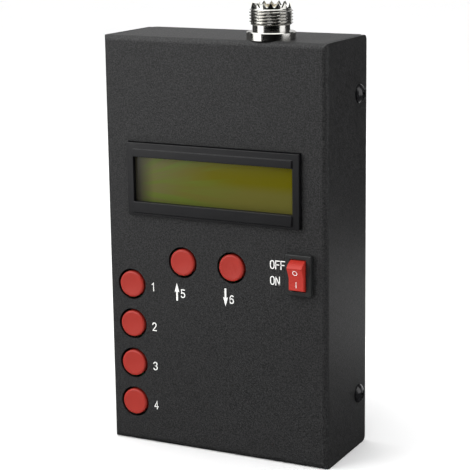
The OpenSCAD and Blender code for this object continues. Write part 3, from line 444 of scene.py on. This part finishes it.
def make_floor():
    """Pale floor that gives no mirror image of itself on the object's shiny pieces."""
    bm = bmesh.new()
    bmesh.ops.create_grid(bm, x_segments=2, y_segments=2, size=FLOOR_REACH)
    floor = added("floor", mesh_from("floor", bm))
    tree = Tree("floor")
    cloud = tree.noise(0.004, detail=2.0)
    tree.set(Base_Color=tree.mix(cloud, (0.9, 0.9, 0.9, 1), (0.93, 0.93, 0.93, 1)), Roughness=0.9)
    floor.data.materials.append(tree.material)
    floor.visible_glossy = False


BACKDROP_RADIUS = 11.0
BACKDROP_FOOT = -0.01
BACKDROP_HEIGHT = 12.0
BACKDROP_SIDES = 96


def make_backdrop():
    """Pale round wall behind the floor that only the camera sees."""
    bm = bmesh.new()
    rings = [
        [
            bm.verts.new((BACKDROP_RADIUS * math.cos(a), BACKDROP_RADIUS * math.sin(a), z))
            for a in (math.tau * i / BACKDROP_SIDES for i in range(BACKDROP_SIDES))
        ]
        for z in (BACKDROP_FOOT, BACKDROP_HEIGHT)
    ]
    for a in range(BACKDROP_SIDES):
        b = (a + 1) % BACKDROP_SIDES
        bm.faces.new((rings[0][b], rings[0][a], rings[1][a], rings[1][b]))
    wall = added("backdrop", mesh_from("backdrop", bm))
    tree = Tree("backdrop")
    cloud = tree.noise(0.0002, detail=1.0)
    glow = tree.mix(cloud, (0.97, 0.97, 0.97, 1), (1.0, 1.0, 1.0, 1))
    tree.set(Base_Color=glow, Emission_Color=glow, Emission_Strength=1.0, Roughness=0.9)
    wall.data.materials.append(tree.material)
    wall.visible_diffuse = wall.visible_glossy = wall.visible_shadow = False
    wall.visible_transmission = False


def soft_box(name, azimuth, distance, low, high, width, radiance):
    """An upright soft light on the floor that faces the object's axis."""
    data = bpy.data.lights.new(name, "AREA")
    data.shape = "RECTANGLE"
    data.size, data.size_y = width, high - low
    data.energy = radiance * math.pi * width * (high - low)
    light = added(name, data)
    back = direction(azimuth, 0.0)
    light.location = back * distance + Vector((0, 0, (low + high) / 2))
    light.rotation_mode = "QUATERNION"
    light.rotation_quaternion = back.to_track_quat("Z", "Y")
    light.visible_camera = False


# Span of the way's Y or Z part, and the room's brightness at both ends of it
ROOM_DEPTH = (-0.1, 0.9, 0.03, 0.7)
ROOM_HEIGHT = (0.1, 0.9, 0.0, 0.15)
# Overhead light: brightness, its width in degrees, and its azimuth and elevation
OVERHEAD = 3.7
OVERHEAD_SPREAD = 100.0
OVERHEAD_FROM = (-35.0, 72.0)
# Name, azimuth, distance, low and high edge, width and brightness
SOFT_BOXES = (
    ("box_left", -42.0, 0.5, 0.02, 0.75, 0.38, 2.6),
    ("box_right", 98.0, 0.5, 0.02, 0.6, 0.34, 1.6),
    ("box_back", 200.0, 0.9, 0.15, 1.0, 1.0, 0.65),
    ("box_low", 154.0, 0.13, 0.0, 0.05, 0.14, 0.95),
)


def make_light():
    """Overhead light, the soft boxes, and a room that is darker on the camera's side."""
    world = bpy.data.worlds.new("studio")
    bpy.context.scene.world = world
    world.use_nodes = True
    nodes, links = world.node_tree.nodes, world.node_tree.links
    background = nodes["Background"]
    toward = nodes.new("ShaderNodeTexCoord")
    split = nodes.new("ShaderNodeSeparateXYZ")
    depth = nodes.new("ShaderNodeMapRange")
    height = nodes.new("ShaderNodeMapRange")
    total = nodes.new("ShaderNodeMath")
    for made, span in ((depth, ROOM_DEPTH), (height, ROOM_HEIGHT)):
        for index, value in enumerate(span):
            made.inputs[index + 1].default_value = value
    total.operation = "ADD"
    links.new(toward.outputs["Generated"], split.inputs["Vector"])
    links.new(split.outputs["Y"], depth.inputs[0])
    links.new(split.outputs["Z"], height.inputs[0])
    links.new(depth.outputs[0], total.inputs[0])
    links.new(height.outputs[0], total.inputs[1])
    links.new(total.outputs[0], background.inputs["Strength"])
    sun = bpy.data.lights.new("overhead", "SUN")
    sun.angle = math.radians(OVERHEAD_SPREAD)
    sun.energy = OVERHEAD
    lamp = added("overhead", sun)
    lamp.rotation_mode = "QUATERNION"
    lamp.rotation_quaternion = direction(*OVERHEAD_FROM).to_track_quat("Z", "Y")
    for box in SOFT_BOXES:
        soft_box(*box)


make_camera()
make_floor()
make_backdrop()
make_light()
bpy.context.scene.view_settings.view_transform = "Standard"


# ---------------------------------------------------------------- antenna socket

THREAD_TURN = 1.058 * MM
THREAD_CREST = 7.8 * MM
THREAD_ROOT = 7.15 * MM
# Radius that the plain barrel shrinks to under the thread, and how far the sleeve goes into it
CORE = 7.11 * MM
SLEEVE_SUNK = 0.3 * MM
# A corner this close to the crest's radius belongs to the plain barrel
BARREL_SLACK = 0.03 * MM
# Parts of half a turn that the root's flat and the flank take
ROOT_FLAT = 0.1
FLANK = 0.78
# Rise of the thread over its way from an end
RUN_OUT = 1.1
COLUMNS = 96
ROWS_PER_TURN = 12


def thread_radius(z, angle, length):
    """Radius of the thread at a height over its foot, with both ends run out."""
    share = (z / THREAD_TURN - angle / math.tau) % 1.0
    slope = 1.0 - abs(share - 0.5) * 2.0
    depth = min(1.0, max(0.0, (slope - ROOT_FLAT) / FLANK))
    full = THREAD_ROOT + (THREAD_CREST - THREAD_ROOT) * depth
    room = THREAD_ROOT + min(z, length - z) * RUN_OUT
    return min(full, max(THREAD_ROOT, room))


def thread_sleeve(axis, foot, length):
    """Closed sleeve with a right-handed helical thread round an upright axis."""
    rows = round(length / THREAD_TURN * ROWS_PER_TURN)
    bm = bmesh.new()
    rings = []
    for row in range(-1, rows + 2):
        ring = []
        z = length * min(max(row, 0), rows) / rows
        for column in range(COLUMNS):
            angle = math.tau * column / COLUMNS
            inner = row in (-1, rows + 1)
            r = CORE - SLEEVE_SUNK if inner else thread_radius(z, angle, length)
            at = (axis.x + r * math.cos(angle), axis.y + r * math.sin(angle), foot + z)
            ring.append(bm.verts.new(at))
        rings.append(ring)
    rings.append(rings[0])
    for lower, upper in zip(rings, rings[1:]):
        for a in range(COLUMNS):
            b = (a + 1) % COLUMNS
            bm.faces.new((lower[a], lower[b], upper[b], upper[a]))
    return bm


def make_socket():
    """The antenna socket with a cut thread on its barrel."""
    low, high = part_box("antenna_insulator")
    axis = Vector(((low.x + high.x) / 2, (low.y + high.y) / 2, 0))
    bm = bmesh.new()
    bm.from_mesh(NODES["antenna_socket"].data)
    radius = {v: math.hypot(v.co.x - axis.x, v.co.y - axis.y) for v in bm.verts}
    barrel = [v for v in bm.verts if abs(radius[v] - THREAD_CREST) < BARREL_SLACK]
    foot = min(v.co.z for v in barrel)
    length = max(v.co.z for v in barrel) - foot
    for v in barrel:
        share = CORE / radius[v]
        v.co.x = axis.x + (v.co.x - axis.x) * share
        v.co.y = axis.y + (v.co.y - axis.y) * share
    sleeve = mesh_from("sleeve", thread_sleeve(axis, foot, length))
    bm.from_mesh(sleeve)
    mesh = mesh_from("antenna_socket_look", bm)
    obj = new_piece("antenna_socket_look", mesh, CASE, "plated_brass")
    bpy.data.meshes.remove(sleeve)
    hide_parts("antenna_socket")
    smooth_by_angle(obj, degrees=28.0)


make_socket()


# ---------------------------------------------------------------- screws in the case's sides

RECESS_WIDE = 4.1 * MM
RECESS_ARM = 0.95 * MM
RECESS_DEEP = 1.3 * MM
# How far the cutter stands out of the head, and its turn about the screw in degrees
RECESS_OVER = 0.5 * MM
RECESS_TURN = 20.0
# The recess's floor as shares of its width and of its arms' width
FLOOR_WIDE = 0.42
FLOOR_ARM = 0.75
# A head's rim lies this close to the case's side
RIM_SLACK = 0.05 * MM


def cross_cutter(tip, inward):
    """Tapered cross, its wide end at a head's tip, cut along the inward way."""
    bm = bmesh.new()
    side = Vector((0, 0, 1))
    other = inward.cross(side)
    for turn in (math.radians(RECESS_TURN), math.radians(RECESS_TURN + 90.0)):
        long_way = side * math.cos(turn) + other * math.sin(turn)
        short_way = inward.cross(long_way)
        corners = []
        for depth, length, width in (
            (-RECESS_OVER, RECESS_WIDE, RECESS_ARM),
            (RECESS_DEEP, RECESS_WIDE * FLOOR_WIDE, RECESS_ARM * FLOOR_ARM),
        ):
            for a, b in ((-1, -1), (1, -1), (1, 1), (-1, 1)):
                along, across = a * length / 2, b * width / 2
                at = tip + inward * depth + long_way * along + short_way * across
                corners.append(bm.verts.new(at))
        bm.faces.new(corners[:4])
        bm.faces.new(reversed(corners[4:]))
        for a in range(4):
            b = (a + 1) % 4
            bm.faces.new((corners[b], corners[a], corners[a + 4], corners[b + 4]))
    bmesh.ops.recalc_face_normals(bm, faces=bm.faces)
    return added("cutter", mesh_from("cutter", bm))


def cut(obj, cutter):
    """Cuts a piece and clears its cutter away."""
    modifier = obj.modifiers.new("cut", "BOOLEAN")
    modifier.operation = "DIFFERENCE"
    modifier.solver = "EXACT"
    modifier.use_self = True
    modifier.object = cutter
    activate(obj)
    bpy.ops.object.modifier_apply(modifier=modifier.name)
    bpy.data.objects.remove(cutter)


def islands(bm):
    """Separate solids of a mesh, as lists of their corners."""
    left = set(bm.verts)
    while left:
        found, queue = set(), [left.pop()]
        while queue:
            v = queue.pop()
            found.add(v)
            for e in v.link_edges:
                other = e.other_vert(v)
                if other in left:
                    left.remove(other)
                    queue.append(other)
        yield found


def make_screws():
    """Side screws with a cross recess in each head."""
    bm = welded("cover_screws")
    tips = []
    for solid in islands(bm):
        tip = max(solid, key=lambda v: abs(v.co.x))
        wide = [v for v in solid if abs(v.co.x) > case_high.x - RIM_SLACK]
        z = (min(v.co.z for v in wide) + max(v.co.z for v in wide)) / 2
        y = (min(v.co.y for v in wide) + max(v.co.y for v in wide)) / 2
        tips.append(Vector((tip.co.x, y, z)))
    obj = new_piece("cover_screws_look", mesh_from("cover_screws_look", bm), CASE, "black_screw")
    for tip in tips:
        cut(obj, cross_cutter(tip, Vector((-math.copysign(1, tip.x), 0, 0))))
    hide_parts("cover_screws")
    smooth_by_angle(obj, degrees=32.0)


make_screws()


# ---------------------------------------------------------------- softened edges

softened("lcd_bezel", 0.2 * MM)
softened("rocker_housing", 0.28 * MM)
softened("rocker_paddle", 0.22 * MM)


# ---------------------------------------------------------------- button caps

CAP_RIM = 0.7 * MM
CAP_DISH = 0.25 * MM
CROWN_SLACK = 0.001 * MM
RIM_STEPS = 5
DISH_STEPS = 8


def make_cap(node):
    """A button cap whose rounded rim and shallow dish are drawn again as even rings."""
    low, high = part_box(node)
    centre, radius = (low + high) / 2, (high.x - low.x) / 2
    bm = welded(node)
    level = low.y + CAP_RIM + CROWN_SLACK
    crown = [face for face in bm.faces if all(v.co.y < level for v in face.verts)]
    bmesh.ops.delete(bm, geom=crown, context="FACES")
    rim = {v for e in bm.edges if e.is_boundary for v in e.verts}
    ring = sorted(rim, key=lambda v: math.atan2(v.co.z - centre.z, v.co.x - centre.x))
    ways = [Vector((v.co.x - centre.x, 0, v.co.z - centre.z)).normalized() for v in ring]
    flat = radius - CAP_RIM
    profile = [
        (flat + CAP_RIM * math.cos(t), low.y + CAP_RIM * (1 - math.sin(t)))
        for t in (math.pi / 2 * i / RIM_STEPS for i in range(1, RIM_STEPS + 1))
    ]
    profile += [
        (flat * u, low.y + CAP_DISH * (1 - u * u))
        for u in (1 - i / DISH_STEPS for i in range(1, DISH_STEPS))
    ]
    count = len(ring)
    for r, y in profile:
        inner = [bm.verts.new((centre.x + w.x * r, y, centre.z + w.z * r)) for w in ways]
        for a in range(count):
            b = (a + 1) % count
            bm.faces.new((ring[a], ring[b], inner[b], inner[a]))
        ring = inner
    tip = bm.verts.new((centre.x, low.y + CAP_DISH, centre.z))
    for a in range(count):
        bm.faces.new((ring[a], ring[(a + 1) % count], tip))
    bmesh.ops.recalc_face_normals(bm, faces=bm.faces)
    obj = new_piece(node + "_look", mesh_from(node + "_look", bm), BODY[node], SLOT[node])
    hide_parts(node)
    smooth_by_angle(obj, degrees=40.0)


for cap_node in ("cap_1", "cap_2", "cap_3", "cap_4", "cap_up", "cap_down"):
    make_cap(cap_node)


# ---------------------------------------------------------------- labels

LABEL_LIFT = 0.03 * MM
LABEL_THICK = 0.02 * MM
LETTER_W = 1.85 * MM
LETTER_H = 3.35 * MM
LETTER_PITCH = 2.1 * MM
STROKE = 0.38 * MM
# Least share that a mitre divides a stroke's half width by, so that sharp corners stay short
MITRE_LEAST = 0.6
ROUND = (
    (0.5, 1), (0.78, 0.95), (0.95, 0.82), (1, 0.6), (1, 0.4), (0.95, 0.18), (0.78, 0.05), (0.5, 0),
    (0.22, 0.05), (0.05, 0.18), (0, 0.4), (0, 0.6), (0.05, 0.82), (0.22, 0.95), (0.5, 1),
)
# Lines of each character, across and up a box of one by one
CHARACTERS = {
    "O": (ROUND,),
    "F": (((0, 0), (0, 1), (1, 1)), ((0, 0.52), (0.85, 0.52))),
    "N": (((0, 0), (0, 1)), ((0, 1), (1, 0)), ((1, 0), (1, 1))),
    "1": (((0.1, 0.8), (0.5, 1), (0.5, 0)),),
    "2": (
        ((0, 0.78), (0.12, 0.94), (0.4, 1), (0.75, 0.96), (0.95, 0.8), (0.93, 0.6), (0, 0), (1, 0)),
    ),
    "3": (
        ((0, 0.84), (0.2, 0.97), (0.5, 1), (0.85, 0.92), (0.95, 0.75), (0.8, 0.58), (0.4, 0.53)),
        ((0.4, 0.53), (0.85, 0.47), (1, 0.28), (0.88, 0.09), (0.5, 0), (0.18, 0.03), (0, 0.16)),
    ),
    "4": (((0.72, 0), (0.72, 1), (0, 0.28), (1, 0.28)),),
    "5": (
        ((0.92, 1), (0.1, 1), (0.05, 0.54), (0.4, 0.63), (0.78, 0.58), (1, 0.35), (0.92, 0.12),
         (0.5, 0), (0.18, 0.03), (0, 0.15)),
    ),
    "6": (
        ((0.92, 0.9), (0.6, 1), (0.25, 0.92), (0.04, 0.65), (0, 0.3), (0.12, 0.08), (0.5, 0),
         (0.88, 0.09), (1, 0.3), (0.88, 0.52), (0.5, 0.6), (0.12, 0.5), (0, 0.3)),
    ),
}


def ribbon(bm, points, width):
    """Flat band of an even width along points, mitred at corners and square at open ends."""
    closed = points[0] == points[-1]
    line = points[:-1] if closed else points
    count = len(line)
    rims = []
    for i, at in enumerate(line):
        ways = []
        if closed or i > 0:
            ways.append((at - line[i - 1]).normalized())
        if closed or i < count - 1:
            ways.append((line[(i + 1) % count] - at).normalized())
        way = sum(ways, Vector((0, 0))).normalized()
        if len(ways) == 1:
            at = at + way * (width / 2 if i else -width / 2)
        side = Vector((-way.y, way.x))
        reach = width / 2 / max(MITRE_LEAST, side.dot(Vector((-ways[0].y, ways[0].x))))
        rims.append([bm.verts.new((v.x, 0, v.y)) for v in (at + side * reach, at - side * reach)])
    for i in range(count if closed else count - 1):
        a, b = rims[i], rims[(i + 1) % count]
        bm.faces.new((a[0], a[1], b[1], b[0]))


def printed(name, bm, surface, body, slot):
    """Thin printed piece from flat faces, laid a little in front of a surface y(x, z)."""
    made = bmesh.ops.extrude_face_region(bm, geom=list(bm.faces))
    front = {g for g in made["geom"] if isinstance(g, bmesh.types.BMVert)}
    for v in bm.verts:
        v.co.y = surface(v.co.x, v.co.z) - LABEL_LIFT + (0 if v in front else LABEL_THICK)
    bmesh.ops.recalc_face_normals(bm, faces=bm.faces)
    new_piece(name, mesh_from(name, bm), body, slot, "label_white")


def front_face(x, z):
    """The case's front, which is flat."""
    return FRONT_Y


def label(name, text, x, z):
    """Printed characters on the front, their left end at x and their foot at z."""
    bm = bmesh.new()
    inset = Vector((STROKE / 2, STROKE / 2))
    for place, character in enumerate(text):
        corner = Vector((x + place * LETTER_PITCH, z)) + inset
        for line in CHARACTERS[character]:
            spread = [Vector((u * (LETTER_W - STROKE), v * (LETTER_H - STROKE))) for u, v in line]
            ribbon(bm, [corner + v for v in spread], STROKE)
    printed(name, bm, front_face, CASE, "case_paint")


ARROW_LONG = 6.8 * MM
ARROW_HEAD = 3.3 * MM
ARROW_WIDE = 1.95 * MM
ARROW_SHAFT = 0.72 * MM
ARROW_BARB = 0.25 * MM


def arrow(name, x, z, up):
    """Printed arrow on the front, its middle at x and its lower end at z."""
    half, barb = ARROW_SHAFT / 2, ARROW_WIDE / 2
    neck = ARROW_LONG - ARROW_HEAD
    outline = (
        (-half, 0), (half, 0), (half, neck), (barb, neck - ARROW_BARB), (0, ARROW_LONG),
        (-barb, neck - ARROW_BARB), (-half, neck),
    )
    bm = bmesh.new()
    bm.faces.new([bm.verts.new((x + u, 0, z + (v if up else ARROW_LONG - v))) for u, v in outline])
    printed(name, bm, front_face, CASE, "case_paint")


# Marks on the rocker, up and down from the middle of its housing
MARK_STROKE = 0.22 * MM
RING_RADIUS = 0.82 * MM
RING_UP = 1.55 * MM
RING_SIDES = 32
BAR_ENDS_DOWN = (4.0 * MM, 2.0 * MM)
# Place in front of the rocker from where its faces are looked for
AHEAD_Y = -0.1


def rocker_marks():
    """Ring and bar printed on the two faces of the rocker."""
    paddle = NODES["rocker_paddle"].data
    shape = BVHTree.FromPolygons(
        [v.co for v in paddle.vertices], [face.vertices for face in paddle.polygons]
    )

    def surface(x, z):
        return shape.ray_cast(Vector((x, AHEAD_Y, z)), Vector((0, 1, 0)))[0].y

    centre = middle("rocker_housing")
    ring = [
        Vector((
            centre.x + RING_RADIUS * math.cos(a),
            centre.z + RING_UP + RING_RADIUS * math.sin(a),
        ))
        for a in (math.tau * i / RING_SIDES for i in range(RING_SIDES))
    ]
    bar = [Vector((centre.x, centre.z - down)) for down in BAR_ENDS_DOWN]
    for name, points in (("rocker_ring", ring + ring[:1]), ("rocker_bar", bar)):
        bm = bmesh.new()
        ribbon(bm, points, MARK_STROKE)
        printed(name, bm, surface, BODY["rocker_paddle"], "rocker_red")


# Where each label starts, to the right of and above the middle of the button or rocker it is for
NUMBER_AT = (8.4 * MM, -1.9 * MM)
ARROW_AT = (-2.6 * MM, -14.8 * MM)
ARROW_NUMBER_AT = (-1.0 * MM, -13.6 * MM)
OFF_AT = (-12.0 * MM, 1.0 * MM)
ON_AT = (-12.0 * MM, -4.9 * MM)


def make_labels():
    """Every printed label, arrow and mark."""
    for text in ("1", "2", "3", "4"):
        at = middle("cap_" + text)
        label("label_" + text, text, at.x + NUMBER_AT[0], at.z + NUMBER_AT[1])
    for cap, text, up in (("cap_up", "5", True), ("cap_down", "6", False)):
        at = middle(cap)
        arrow("label_arrow_" + text, at.x + ARROW_AT[0], at.z + ARROW_AT[1], up)
        label("label_" + text, text, at.x + ARROW_NUMBER_AT[0], at.z + ARROW_NUMBER_AT[1])
    rocker = middle("rocker_housing")
    label("label_off", "OFF", rocker.x + OFF_AT[0], rocker.z + OFF_AT[1])
    label("label_on", "ON", rocker.x + ON_AT[0], rocker.z + ON_AT[1])
    rocker_marks()


make_labels()
